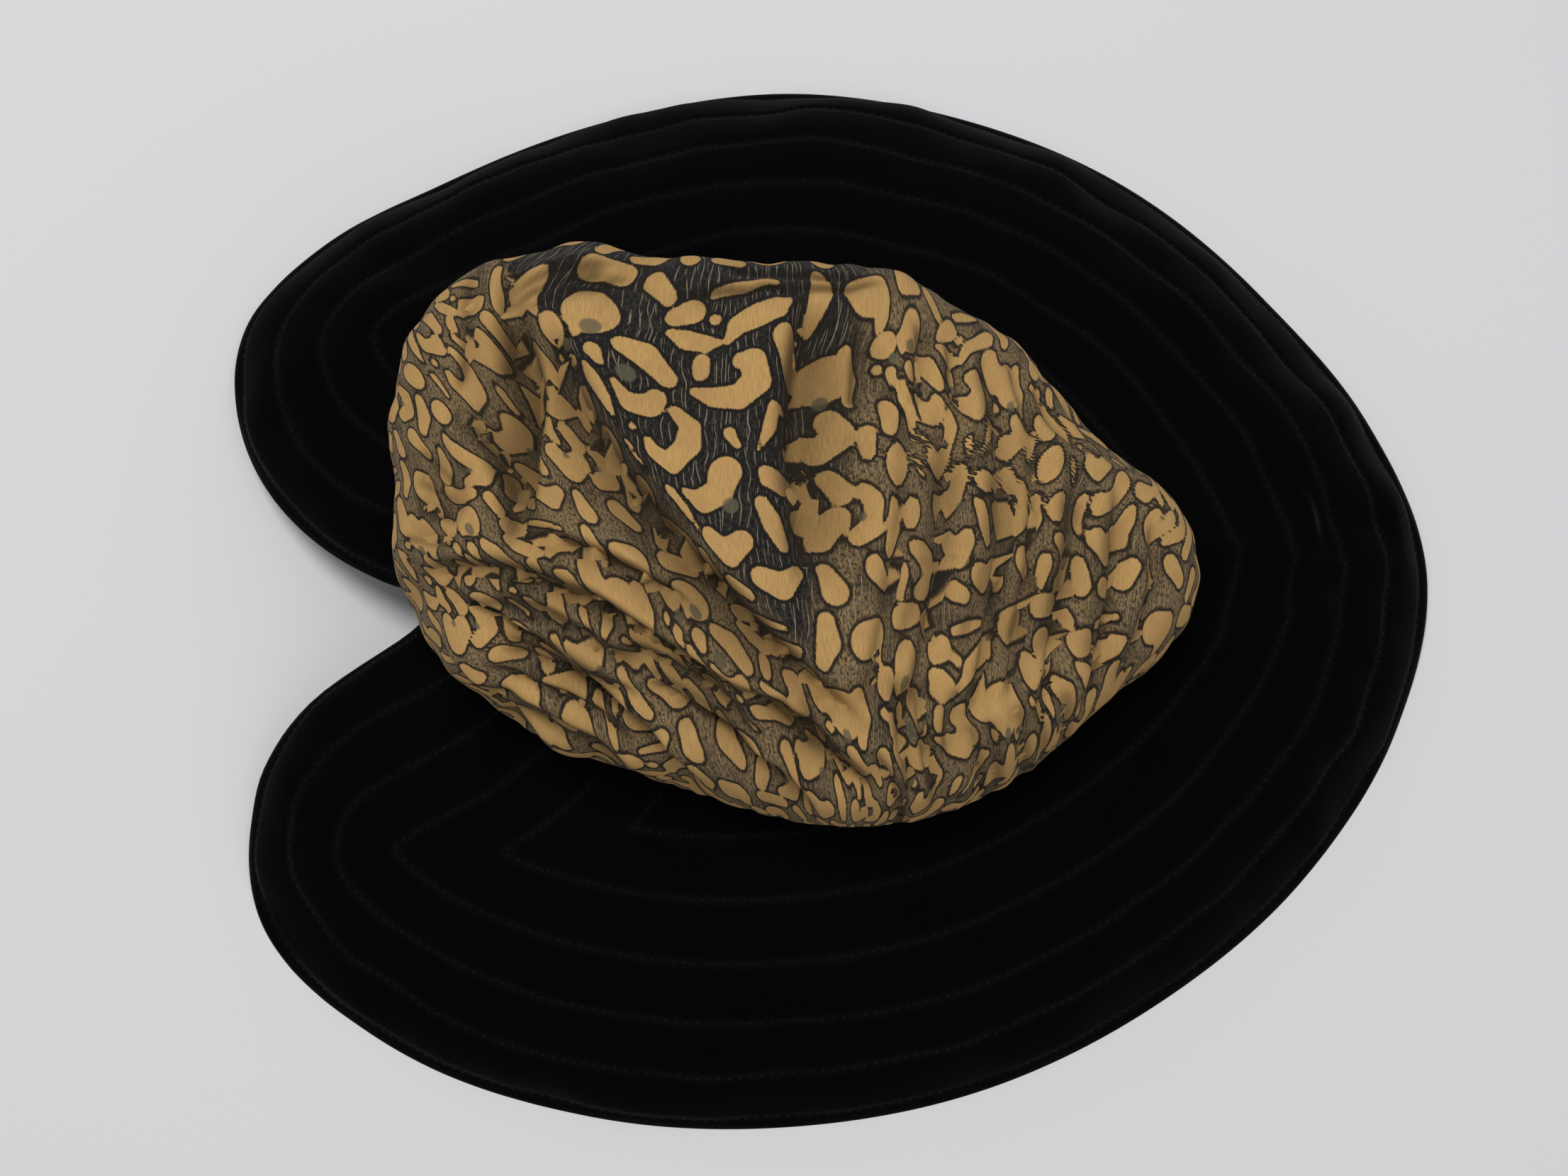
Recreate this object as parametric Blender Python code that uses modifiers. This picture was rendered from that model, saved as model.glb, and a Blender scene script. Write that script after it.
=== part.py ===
"""Floppy hat with a wide stitched velvet brim and a soft draped crown.

Frame: metres, +Z up, the hat's front faces -Y and the wearer's left is +X. The hat rests on the plane
Z = 0 by the edge of its brim, and the origin is at the bottom centre of its box.
Two solids: "brim", a closed loft of profiles round the head opening, and "crown", an open draped surface
made into a thin shell by a Solidify modifier.
"""

import math

import bpy

# ---------------------------------------------------------------- driving sizes
OPENING_CENTRE = (0.003, 0.012)   # the head opening's centre, seen from above
OPENING_HALF_WIDTH = 0.081   # with the next, an ellipse for a 56 cm head
OPENING_HALF_LENGTH = 0.098
OPENING_TURN = math.radians(-8)   # the ellipse is turned a little from the brim's line of symmetry
OPENING_HEIGHT = 0.042       # top of the brim where it meets the crown
BRIM_THICKNESS = 0.003       # two plies of velvet and the stiffening between them
BRIM_STEPS_ROUND = 84        # sections round the brim
BRIM_STEPS_ACROSS = 9        # steps from the opening to the edge
SLOPE_STEP = 0.01            # share of the brim's width over which its slope is measured
EVEN_FALL = 0.30             # share of the brim's fall that is an even slope
CURL_POWER = 4.5             # how late the rest of the fall comes, as the edge curls down

CROWN_THICKNESS = 0.002      # gauze over its backing
CROWN_CELLS = 38             # cells along each side of the cloth's grid
CROWN_TOP_X = 0.004          # the highest point of the crown
CROWN_TOP_Y = 0.035
CROWN_TOP_Z = 0.114
TUCK_ANGLE = math.radians(140)   # how far the puffed side turns under, from the top
SHOULDER_POWER = 0.80        # below 1 makes the crown's shoulder fuller
LEFT_SHOULDER_POWER = 0.62   # the same on the wearer's left, where the cloth lies flatter
FOLDS_END_ANGLE = math.radians(76)   # the folds fade out from here down the puffed side
FOLDS_FADE_ANGLE = math.radians(27)
FOLD_END_SHARE = 0.12        # how far a fold has come up already at its ends, as a share of a half turn
FOLD_STEPS = 24              # straight steps that stand for a fold's curve
GAP = 0.0003                 # between the crown's lower edge and the brim

# ---------------------------------------------------------------- tables
# A row for each section round the opening. angle: degrees from the front, towards the wearer's left;
# reach: plan distance from the opening's centre to the brim's edge; lift: height of that edge.
BRIM_SECTIONS = [
    {"angle": -162, "reach": 0.1695, "lift": 0.016},
    {"angle": -155, "reach": 0.1945, "lift": 0.005},
    {"angle": -145, "reach": 0.2095, "lift": 0.000},
    {"angle": -130, "reach": 0.2040, "lift": 0.000},
    {"angle": -110, "reach": 0.1910, "lift": 0.000},
    {"angle": -90, "reach": 0.1830, "lift": 0.000},
    {"angle": -70, "reach": 0.1825, "lift": 0.000},
    {"angle": -50, "reach": 0.1875, "lift": 0.000},
    {"angle": -30, "reach": 0.1995, "lift": 0.000},
    {"angle": -15, "reach": 0.2100, "lift": 0.000},
    {"angle": 0, "reach": 0.2160, "lift": 0.003},
    {"angle": 15, "reach": 0.2060, "lift": 0.003},
    {"angle": 30, "reach": 0.1945, "lift": 0.000},
    {"angle": 50, "reach": 0.1855, "lift": 0.000},
    {"angle": 70, "reach": 0.1790, "lift": 0.000},
    {"angle": 90, "reach": 0.1780, "lift": 0.000},
    {"angle": 110, "reach": 0.1790, "lift": 0.000},
    {"angle": 130, "reach": 0.1880, "lift": 0.000},
    {"angle": 145, "reach": 0.2040, "lift": 0.000},
    {"angle": 155, "reach": 0.2090, "lift": 0.002},
    {"angle": 162, "reach": 0.2005, "lift": 0.006},
    {"angle": 168, "reach": 0.1880, "lift": 0.010},
    {"angle": 174, "reach": 0.1710, "lift": 0.016},
    {"angle": 180, "reach": 0.1500, "lift": 0.022},
    {"angle": 186, "reach": 0.1270, "lift": 0.030},
    {"angle": 190, "reach": 0.1160, "lift": 0.035},
    {"angle": 194, "reach": 0.1330, "lift": 0.028},
]

# A row for each section of the crown. reach: plan distance from the opening's centre to its widest level;
# waist: height of that level.
CROWN_SECTIONS = [
    {"angle": -165, "reach": 0.1210, "waist": 0.063},
    {"angle": -150, "reach": 0.1100, "waist": 0.062},
    {"angle": -135, "reach": 0.0995, "waist": 0.060},
    {"angle": -120, "reach": 0.0900, "waist": 0.059},
    {"angle": -105, "reach": 0.0885, "waist": 0.058},
    {"angle": -90, "reach": 0.0925, "waist": 0.057},
    {"angle": -60, "reach": 0.1020, "waist": 0.056},
    {"angle": -45, "reach": 0.1070, "waist": 0.055},
    {"angle": -30, "reach": 0.1120, "waist": 0.054},
    {"angle": -15, "reach": 0.1270, "waist": 0.053},
    {"angle": -3, "reach": 0.1275, "waist": 0.053},
    {"angle": 15, "reach": 0.1025, "waist": 0.053},
    {"angle": 30, "reach": 0.0930, "waist": 0.053},
    {"angle": 60, "reach": 0.0880, "waist": 0.051},
    {"angle": 90, "reach": 0.0840, "waist": 0.050},
    {"angle": 105, "reach": 0.0868, "waist": 0.052},
    {"angle": 120, "reach": 0.0985, "waist": 0.056},
    {"angle": 135, "reach": 0.1208, "waist": 0.062},
    {"angle": 150, "reach": 0.1330, "waist": 0.066},
    {"angle": 165, "reach": 0.1285, "waist": 0.068},
    {"angle": 180, "reach": 0.1220, "waist": 0.066},
]

# A row for each main fold of the crown, a valley along a curve seen from above. x and y: its start,
# middle and end; width: half of the valley's width; depth: how far it sinks.
CROWN_FOLDS = [
    {"x": (0.060, 0.028, -0.004), "y": (0.098, 0.097, 0.090), "width": 0.010, "depth": 0.008},
    {"x": (0.055, 0.000, -0.062), "y": (0.081, 0.063, -0.012), "width": 0.012, "depth": 0.010},
    {"x": (0.064, 0.008, -0.034), "y": (-0.006, 0.006, 0.008), "width": 0.012, "depth": 0.009},
    {"x": (0.050, 0.000, -0.050), "y": (-0.040, -0.046, -0.050), "width": 0.009, "depth": 0.004},
    {"x": (0.040, 0.000, -0.040), "y": (-0.068, -0.072, -0.074), "width": 0.009, "depth": 0.004},
    {"x": (-0.018, -0.050, -0.078), "y": (0.118, 0.086, 0.040), "width": 0.009, "depth": 0.005},
]


# ---------------------------------------------------------------- helpers
def round_value(rows, column, angle):
    """The value of a column at an angle in degrees, on a smooth closed curve through the rows."""
    count = len(rows)
    angle = rows[0]["angle"] + (angle - rows[0]["angle"]) % 360
    index = max(i for i in range(count) if rows[i]["angle"] <= angle)

    def knot(i):
        turns, place = divmod(i, count)
        return rows[place]["angle"] + 360 * turns, rows[place][column]

    (a0, v0), (a1, v1), (a2, v2), (a3, v3) = (knot(index + step) for step in (-1, 0, 1, 2))
    part = (angle - a1) / (a2 - a1)
    slope1 = (v2 - v0) / (a2 - a0) * (a2 - a1)
    slope2 = (v3 - v1) / (a3 - a1) * (a2 - a1)
    square, cube = part * part, part ** 3
    return (v1 * (2 * cube - 3 * square + 1) + slope1 * (cube - 2 * square + part)
            + v2 * (3 * square - 2 * cube) + slope2 * (cube - square))


def opening_radius(turn):
    """Plan distance from the opening's centre to its edge, at an angle in radians from the front."""
    from_long_axis = turn - OPENING_TURN
    return 1 / math.hypot(math.sin(from_long_axis) / OPENING_HALF_WIDTH,
                          math.cos(from_long_axis) / OPENING_HALF_LENGTH)


def plan_point(radius, turn):
    """A point of the plan at a distance and an angle from the opening's centre."""
    return OPENING_CENTRE[0] + radius * math.sin(turn), OPENING_CENTRE[1] - radius * math.cos(turn)


def blend(start, end, part):
    return start + (end - start) * part


def cloth_material(name, colour, roughness):
    material = bpy.data.materials.new(name)
    material.use_nodes = True
    shader = material.node_tree.nodes["Principled BSDF"]
    shader.inputs["Base Color"].default_value = (*colour, 1)
    shader.inputs["Roughness"].default_value = roughness
    shader.inputs["Metallic"].default_value = 0
    return material


def mesh_object(name, points, faces, material, collection):
    mesh = bpy.data.meshes.new(name)
    mesh.from_pydata(points, [], faces)
    mesh.materials.append(material)
    mesh.shade_smooth()
    thing = bpy.data.objects.new(name, mesh)
    collection.objects.link(thing)
    return thing


# ---------------------------------------------------------------- brim
def brim_profile(turn):
    """The closed outline of the brim's section at an angle: (plan radius, height) pairs, outer skin first."""
    degrees = math.degrees(turn)
    inner = opening_radius(turn)
    reach = round_value(BRIM_SECTIONS, "reach", degrees)
    lift = max(0.0, round_value(BRIM_SECTIONS, "lift", degrees))

    def upper(part):
        fall = EVEN_FALL * part + (1 - EVEN_FALL) * part ** CURL_POWER
        return blend(inner, reach, part), blend(OPENING_HEIGHT, lift, fall)

    skin, under = [], []
    for step in range(BRIM_STEPS_ACROSS + 1):
        part = math.sin(math.pi / 2 * step / BRIM_STEPS_ACROSS)
        radius, height = upper(part)
        skin.append((radius, height))
        ahead, behind = upper(min(1, part + SLOPE_STEP)), upper(max(0, part - SLOPE_STEP))
        run, rise = ahead[0] - behind[0], ahead[1] - behind[1]
        size = math.hypot(run, rise)
        under.append((radius + rise / size * BRIM_THICKNESS, height - run / size * BRIM_THICKNESS))
    under[0] = (inner, OPENING_HEIGHT - BRIM_THICKNESS)
    # the edge is pressed flat where it rests, so the section ends in a level strip
    slope_in, slope_out = under[-2], under[-1]
    share = (slope_in[1] - lift) / (slope_in[1] - slope_out[1])
    under[-1] = (blend(slope_in[0], slope_out[0], share), lift)
    return skin + under[::-1]


def make_brim(collection):
    points, faces = [], []
    for step in range(BRIM_STEPS_ROUND):
        turn = 2 * math.pi * step / BRIM_STEPS_ROUND
        for radius, height in brim_profile(turn):
            points.append((*plan_point(radius, turn), height))
    size = 2 * (BRIM_STEPS_ACROSS + 1)
    for step in range(BRIM_STEPS_ROUND):
        here, there = step * size, (step + 1) % BRIM_STEPS_ROUND * size
        for i in range(size):
            j = (i + 1) % size
            faces.append((here + i, here + j, there + j, there + i))
    velvet = cloth_material("black_velvet", (0.004, 0.004, 0.005), 0.9)
    return mesh_object("brim", points, faces, velvet, collection)


# ---------------------------------------------------------------- crown
def fold_depth(x, y):
    """How far the main folds sink the crown at a point of its plan."""
    depth = 0.0
    for fold in CROWN_FOLDS:
        nearest = min(
            (math.hypot(x - fx, y - fy), part)
            for part, fx, fy in fold_points(fold)
        )
        across = max(0.0, 1 - (nearest[0] / fold["width"]) ** 2)
        along = math.sqrt(math.sin(math.pi * blend(FOLD_END_SHARE, 1 - FOLD_END_SHARE, nearest[1])))
        depth += fold["depth"] * across ** 2 * along
    return depth


def fold_points(fold):
    """Points along a fold's curve, which passes through its start, middle and end."""
    for step in range(FOLD_STEPS + 1):
        part = step / FOLD_STEPS
        weights = ((1 - part) * (1 - 2 * part), 4 * part * (1 - part), part * (2 * part - 1))
        yield (part, sum(w * v for w, v in zip(weights, fold["x"])),
               sum(w * v for w, v in zip(weights, fold["y"])))


def crown_point(s, t):
    """The crown's outer skin at a place of its cloth, with s and t from -1 to 1 across it."""
    disc_x, disc_y = s * math.sqrt(1 - t * t / 2), t * math.sqrt(1 - s * s / 2)
    out = min(1.0, math.hypot(disc_x, disc_y))
    turn = math.atan2(disc_x, -disc_y)
    degrees = math.degrees(turn)
    reach = round_value(CROWN_SECTIONS, "reach", degrees)
    waist = round_value(CROWN_SECTIONS, "waist", degrees)
    bottom = OPENING_HEIGHT + GAP
    angle = out * TUCK_ANGLE
    if angle <= math.pi / 2:
        share = math.sin(angle)
        power = blend(SHOULDER_POWER, LEFT_SHOULDER_POWER, max(0, math.sin(turn)))
        height = blend(waist, CROWN_TOP_Z, math.cos(angle) ** power)
    else:
        tuck = (angle - math.pi / 2) / (TUCK_ANGLE - math.pi / 2) * math.pi / 2
        inner = opening_radius(turn) + CROWN_THICKNESS
        share = blend(inner / reach, 1, math.cos(tuck))
        height = blend(waist, bottom, math.sin(tuck))
    edge_x, edge_y = plan_point(reach, turn)
    if angle <= math.pi / 2:
        x = blend(CROWN_TOP_X, edge_x, share)
        y = blend(CROWN_TOP_Y, edge_y, share)
    else:
        x, y = plan_point(reach * share, turn)
    fade = 1 - min(1, max(0, (angle - FOLDS_END_ANGLE) / FOLDS_FADE_ANGLE))
    return x, y, height - fold_depth(x, y) * fade


def make_crown(collection):
    points, faces = [], []
    for row in range(CROWN_CELLS + 1):
        for column in range(CROWN_CELLS + 1):
            points.append(crown_point(2 * column / CROWN_CELLS - 1, 2 * row / CROWN_CELLS - 1))
    width = CROWN_CELLS + 1
    for row in range(CROWN_CELLS):
        for column in range(CROWN_CELLS):
            corner = row * width + column
            faces.append((corner, corner + 1, corner + 1 + width, corner + width))
    gauze = cloth_material("printed_gauze", (0.42, 0.27, 0.11), 0.85)
    crown = mesh_object("crown", points, faces, gauze, collection)
    shell = crown.modifiers.new("cloth", "SOLIDIFY")
    shell.thickness = CROWN_THICKNESS
    shell.offset = -1
    return crown


def main():
    for thing in list(bpy.data.objects):
        bpy.data.objects.remove(thing, do_unlink=True)
    hat = bpy.data.collections.new("floppy_hat")
    bpy.context.scene.collection.children.link(hat)
    make_brim(hat)
    make_crown(hat)


main()
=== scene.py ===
"""Looks of the floppy hat: a black velvet brim sewn in rows, and a draped crown of tan figures on black net.

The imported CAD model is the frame: the brim's outline and the crown's greatest reach and its height all
round are read from their nodes, and both pieces are rebuilt here in fine cloth. Metres, +Z up, the hat's
front is -Y and the wearer's left is +X.
"""
import math
from collections import namedtuple

import bpy
import numpy as np
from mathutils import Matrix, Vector
from mathutils.bvhtree import BVHTree
from mathutils.kdtree import KDTree


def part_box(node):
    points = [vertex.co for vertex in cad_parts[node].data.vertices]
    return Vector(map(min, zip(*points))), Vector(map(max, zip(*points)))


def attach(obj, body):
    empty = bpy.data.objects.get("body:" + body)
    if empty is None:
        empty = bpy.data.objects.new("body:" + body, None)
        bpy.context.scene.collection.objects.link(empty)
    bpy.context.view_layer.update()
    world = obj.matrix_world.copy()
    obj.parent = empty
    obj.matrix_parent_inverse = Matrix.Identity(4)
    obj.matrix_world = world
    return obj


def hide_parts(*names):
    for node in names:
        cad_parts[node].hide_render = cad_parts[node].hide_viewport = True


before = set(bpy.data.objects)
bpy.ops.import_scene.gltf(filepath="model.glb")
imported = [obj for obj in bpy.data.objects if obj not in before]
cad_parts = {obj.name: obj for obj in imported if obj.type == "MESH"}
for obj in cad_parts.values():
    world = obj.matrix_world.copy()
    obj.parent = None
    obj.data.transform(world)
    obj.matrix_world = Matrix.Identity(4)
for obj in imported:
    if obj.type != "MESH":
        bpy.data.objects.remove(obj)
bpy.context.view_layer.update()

# ---------------------------------------------------------------- sizes, in metres
MM = 0.001
OPENING_CENTRE = np.array([0.003, 0.012])   # of the head opening, seen from above
OPENING_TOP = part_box("brim")[1][2]          # the brim's top, where it meets the crown
CROWN_TOP = np.array([0.004, 0.035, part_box("crown")[1][2]])
FOOT_DROP = 0.15 * MM     # the crown's foot lies so far below the brim's top, where the brim slopes away

BRIM_ROUND = 480          # steps round the brim
BRIM_ACROSS = 110         # steps over its upper side
BRIM_UNDER = 26           # steps over its under side
BRIM_THICKNESS = 3 * MM
EDGE_LIFT = 0.1 * MM      # how far both sides stay above the foot of the edge
LEVEL_EDGE = 9 * MM       # width along the edge where creases and waves die away
LEVEL_OPENING = 0.12      # share of the brim's width where they die away at the opening
UNDER_SEWING = 0.6        # how deep the sewing shows on the under side, of its depth on top
EVEN_FALL = 0.30          # share of the brim's fall that is an even slope
CURL_POWER = 4.5          # how late the rest of the fall comes, as the edge curls down
FIRST_ROW = 4.5 * MM      # the first row of stitching, from the edge
ROW_PITCH = 18.5 * MM
ROW_COUNT = 6
ROW_HALF_WIDTH = 1.3 * MM
ROW_DEPTH = 0.7 * MM
PUFF = 0.5 * MM           # how far the velvet stands up between two rows
STITCH_LENGTH = 2.4 * MM
STITCH_GAP = 0.9 * MM
STITCH_RADIUS = 0.28 * MM
STITCH_LIFT = 0.6         # how far a stitch's middle stands up, in radii

CROWN_CELLS = 276         # cells along each side of the crown's cloth
LINING_STEP = 4           # the inner side has one cell for so many outer ones
CROWN_THICKNESS = 0.8 * MM
CLOTH_RELAXED = 6         # rounds of relaxing the cloth after folding it
PRINT_RELAXED = 26        # rounds of relaxing how the print lies on it
CREASE_RELAXED = 4        # rounds of relaxing the painted shade lines along its folds
TUCK_ANGLE = math.radians(140)   # how far the puffed side turns under, from the top
SHOULDER_POWER = 0.80            # the lower, the fuller the crown's shoulder
LEFT_SHOULDER_POWER = 0.62       # the same on the wearer's left, where the cloth lies flatter
ROLL_ROOM = 1 * MM               # left under the crown's full height for the folds to rise into


# ---------------------------------------------------------------- small helpers
def blend(start, end, part):
    return start + (end - start) * part


def smooth(part):
    part = np.clip(part, 0, 1)
    return part * part * (3 - 2 * part)


def ramp(value, span):
    """0 below the span, 1 above it, smooth between."""
    return smooth((value - span[0]) / (span[1] - span[0]))


def round_curve(values, turns):
    """Values at angles in radians, on a smooth closed curve through evenly spaced values."""
    count = len(values)
    place = np.asarray(turns) / (2 * math.pi) * count
    index = np.floor(place).astype(int)
    part = place - index
    v0, v1, v2, v3 = (values[(index + step) % count] for step in (-1, 0, 1, 2))
    slope1, slope2 = (v2 - v0) / 2, (v3 - v1) / 2
    square, cube = part ** 2, part ** 3
    return (v1 * (2 * cube - 3 * square + 1) + slope1 * (cube - 2 * square + part)
            + v2 * (3 * square - 2 * cube) + slope2 * (cube - square))


def plan_points(radius, turn):
    """Points of the plan at a distance and an angle from the opening's centre; 0 is the front."""
    return OPENING_CENTRE[0] + radius * np.sin(turn), OPENING_CENTRE[1] - radius * np.cos(turn)


def waves(x, y, size, seed, count=10):
    """A soft random surface of about -1 to 1, whose hills are about size across."""
    rng = np.random.default_rng(seed)
    total = np.zeros_like(x)
    for _ in range(count):
        heading = rng.uniform(0, 2 * math.pi)
        length = size * rng.uniform(0.7, 1.8)
        phase = rng.uniform(0, 2 * math.pi)
        total += np.sin((x * math.cos(heading) + y * math.sin(heading)) * 2 * math.pi / length + phase)
    return total / math.sqrt(count)


def node_points(name):
    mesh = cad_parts[name].data
    flat = np.empty(len(mesh.vertices) * 3, dtype=np.float32)
    mesh.vertices.foreach_get("co", flat)
    return flat.reshape(-1, 3).astype(float)


def node_tree(name):
    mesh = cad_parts[name].data
    return BVHTree.FromPolygons([v.co for v in mesh.vertices], [tuple(p.vertices) for p in mesh.polygons])


def mesh_piece(name, points, faces, material):
    mesh = bpy.data.meshes.new(name)
    mesh.from_pydata(np.asarray(points).tolist(), [], faces if isinstance(faces, list) else faces.tolist())
    mesh.shade_smooth()
    mesh.materials.append(material)
    piece = bpy.data.objects.new(name, mesh)
    bpy.context.scene.collection.objects.link(piece)
    return piece


def store(piece, name, values):
    """Keeps a number for each point, for the material to read."""
    layer = piece.data.attributes.new(name, "FLOAT", "POINT")
    layer.data.foreach_set("value", np.asarray(values, dtype=np.float32))


def quads(rows, columns, close_rows=False, close_columns=False, first=0):
    """The faces of a grid of points numbered along its rows, as four corners each."""
    r = np.arange(rows if close_rows else rows - 1)
    c = np.arange(columns if close_columns else columns - 1)
    r, c = (a.ravel() for a in np.meshgrid(r, c, indexing="ij"))
    r2, c2 = (r + 1) % rows, (c + 1) % columns
    return first + np.stack([r * columns + c, r * columns + c2, r2 * columns + c2, r2 * columns + c], 1)


def grid_normals(grid, close_rows=False):
    """Unit normals of a (rows, columns, 3) grid of points."""
    if close_rows:
        down = np.roll(grid, -1, 0) - np.roll(grid, 1, 0)
    else:
        down = np.gradient(grid, axis=0)
    along = np.gradient(grid, axis=1)
    normal = np.cross(along, down)
    return normal / np.maximum(np.linalg.norm(normal, axis=2, keepdims=True), 1e-12)


def curve_through(ends, steps):
    """Points on the smooth curve through a start, a middle and an end, in the plan."""
    part = np.linspace(0, 1, steps + 1)[:, None]
    start, middle, end = (np.array(p) for p in ends)
    return ((1 - part) * (1 - 2 * part) * start + 4 * part * (1 - part) * middle
            + part * (2 * part - 1) * end)


def beside(x, y, line):
    """For points of the plan: distance to a line of points, signed by side, how far along it, and
    the direction away from it to its left."""
    best = np.full(x.shape, np.inf)
    signed, along = np.zeros_like(x), np.zeros_like(x)
    away = np.zeros(x.shape + (2,))
    for i, (a, b) in enumerate(zip(line[:-1], line[1:])):
        step = b - a
        length = np.hypot(*step)
        part = np.clip(((x - a[0]) * step[0] + (y - a[1]) * step[1]) / length ** 2, 0, 1)
        dx, dy = x - a[0] - part * step[0], y - a[1] - part * step[1]
        distance = np.hypot(dx, dy)
        nearer = distance < best
        best = np.where(nearer, distance, best)
        left = np.array([-step[1], step[0]]) / length
        side = np.where(dx * left[0] + dy * left[1] >= 0, 1, -1)
        signed = np.where(nearer, distance * side, signed)
        along = np.where(nearer, (i + part) / (len(line) - 1), along)
        away[nearer] = left
    return signed, along, away


# ---------------------------------------------------------------- materials
class Shader:
    """A Principled material whose nodes are made and joined in short calls."""

    def __init__(self, name, **constants):
        self.material = bpy.data.materials.new(name)
        self.material.use_nodes = True
        self.tree = self.material.node_tree
        self.main = self.tree.nodes["Principled BSDF"]
        for socket, value in constants.items():
            self.main.inputs[socket.replace("_", " ")].default_value = value

    def add(self, kind, inputs=None, **settings):
        node = self.tree.nodes.new(kind)
        for key, value in settings.items():
            setattr(node, key, value)
        for key, value in (inputs or {}).items():
            self.put(node.inputs[key], value)
        return node

    def put(self, socket, value):
        if isinstance(value, bpy.types.NodeSocket):
            self.tree.links.new(value, socket)
        else:
            socket.default_value = value

    def math(self, operation, a, b=0.0, clamp=False):
        node = self.add("ShaderNodeMath", {0: a, 1: b}, operation=operation, use_clamp=clamp)
        return node.outputs[0]

    def remap(self, value, low, high, to_low=0.0, to_high=1.0):
        """Low to high becomes to_low to to_high, smoothly and held at both ends."""
        node = self.add("ShaderNodeMapRange", {0: value, 1: low, 2: high, 3: to_low, 4: to_high},
                        interpolation_type="SMOOTHSTEP")
        return node.outputs[0]

    def mix(self, share, a, b):
        node = self.add("ShaderNodeMix", data_type="RGBA")
        for socket, value in zip((node.inputs[0], node.inputs[6], node.inputs[7]), (share, a, b)):
            self.put(socket, value)
        return node.outputs[2]

    def noise(self, vector, scale=1.0, detail=2.0, roughness=0.5):
        node = self.add("ShaderNodeTexNoise", {"Vector": vector, "Scale": scale, "Detail": detail,
                                               "Roughness": roughness})
        return node.outputs["Fac"]

    def stretched(self, vector, scale):
        node = self.add("ShaderNodeMapping", {"Vector": vector, "Scale": scale})
        return node.outputs[0]

    def number(self, name):
        return self.add("ShaderNodeAttribute", attribute_name=name).outputs["Fac"]

    def bump(self, height, distance, strength=1.0):
        node = self.add("ShaderNodeBump", {"Height": height, "Distance": distance, "Strength": strength})
        self.tree.links.new(node.outputs[0], self.main.inputs["Normal"])

    def colour(self, value):
        self.put(self.main.inputs["Base Color"], value)


def velvet_material():
    """Black pile that brightens at grazing angles, and is lighter along the rows of stitching: partly the
    pile crushed there, partly a painted highlight for the sheen off the grooves' walls.
    """
    velvet = Shader("velvet", Roughness=0.9, Sheen_Weight=0.06, Sheen_Roughness=0.35,
                    Sheen_Tint=(0.75, 0.78, 0.85, 1))
    velvet.main.inputs["Specular IOR Level"].default_value = 0.02
    place = velvet.add("ShaderNodeTexCoord").outputs["Object"]
    pile = velvet.noise(place, scale=1400, detail=2)
    nap = velvet.noise(place, scale=45, detail=3)
    row = velvet.number("row")
    base = velvet.mix(nap, (0.0008, 0.0008, 0.0009, 1), (0.0020, 0.0019, 0.0021, 1))
    tipped = velvet.mix(velvet.remap(pile, 0.55, 0.8, 0.0, 0.5), base, (0.005, 0.005, 0.0055, 1))
    # lighter colour along the rows: partly crushed pile, partly a painted highlight for the sheen off the
    # grooves' walls
    velvet.colour(velvet.mix(velvet.math("MULTIPLY", row, 0.2), tipped, (0.012, 0.0115, 0.012, 1)))
    height = velvet.math("ADD", pile, velvet.math("MULTIPLY", nap, 0.6))
    velvet.bump(height, 0.4 * MM, 0.6)
    return velvet.material


def thread_material():
    """Black sewing thread, faintly uneven."""
    thread = Shader("black_thread", Roughness=0.5, Base_Color=(0.006, 0.006, 0.0065, 1))
    thread.main.inputs["Specular IOR Level"].default_value = 0.15
    place = thread.add("ShaderNodeTexCoord").outputs["Object"]
    thread.bump(thread.noise(place, scale=5000, detail=1), 0.1 * MM, 0.5)
    return thread.material


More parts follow.
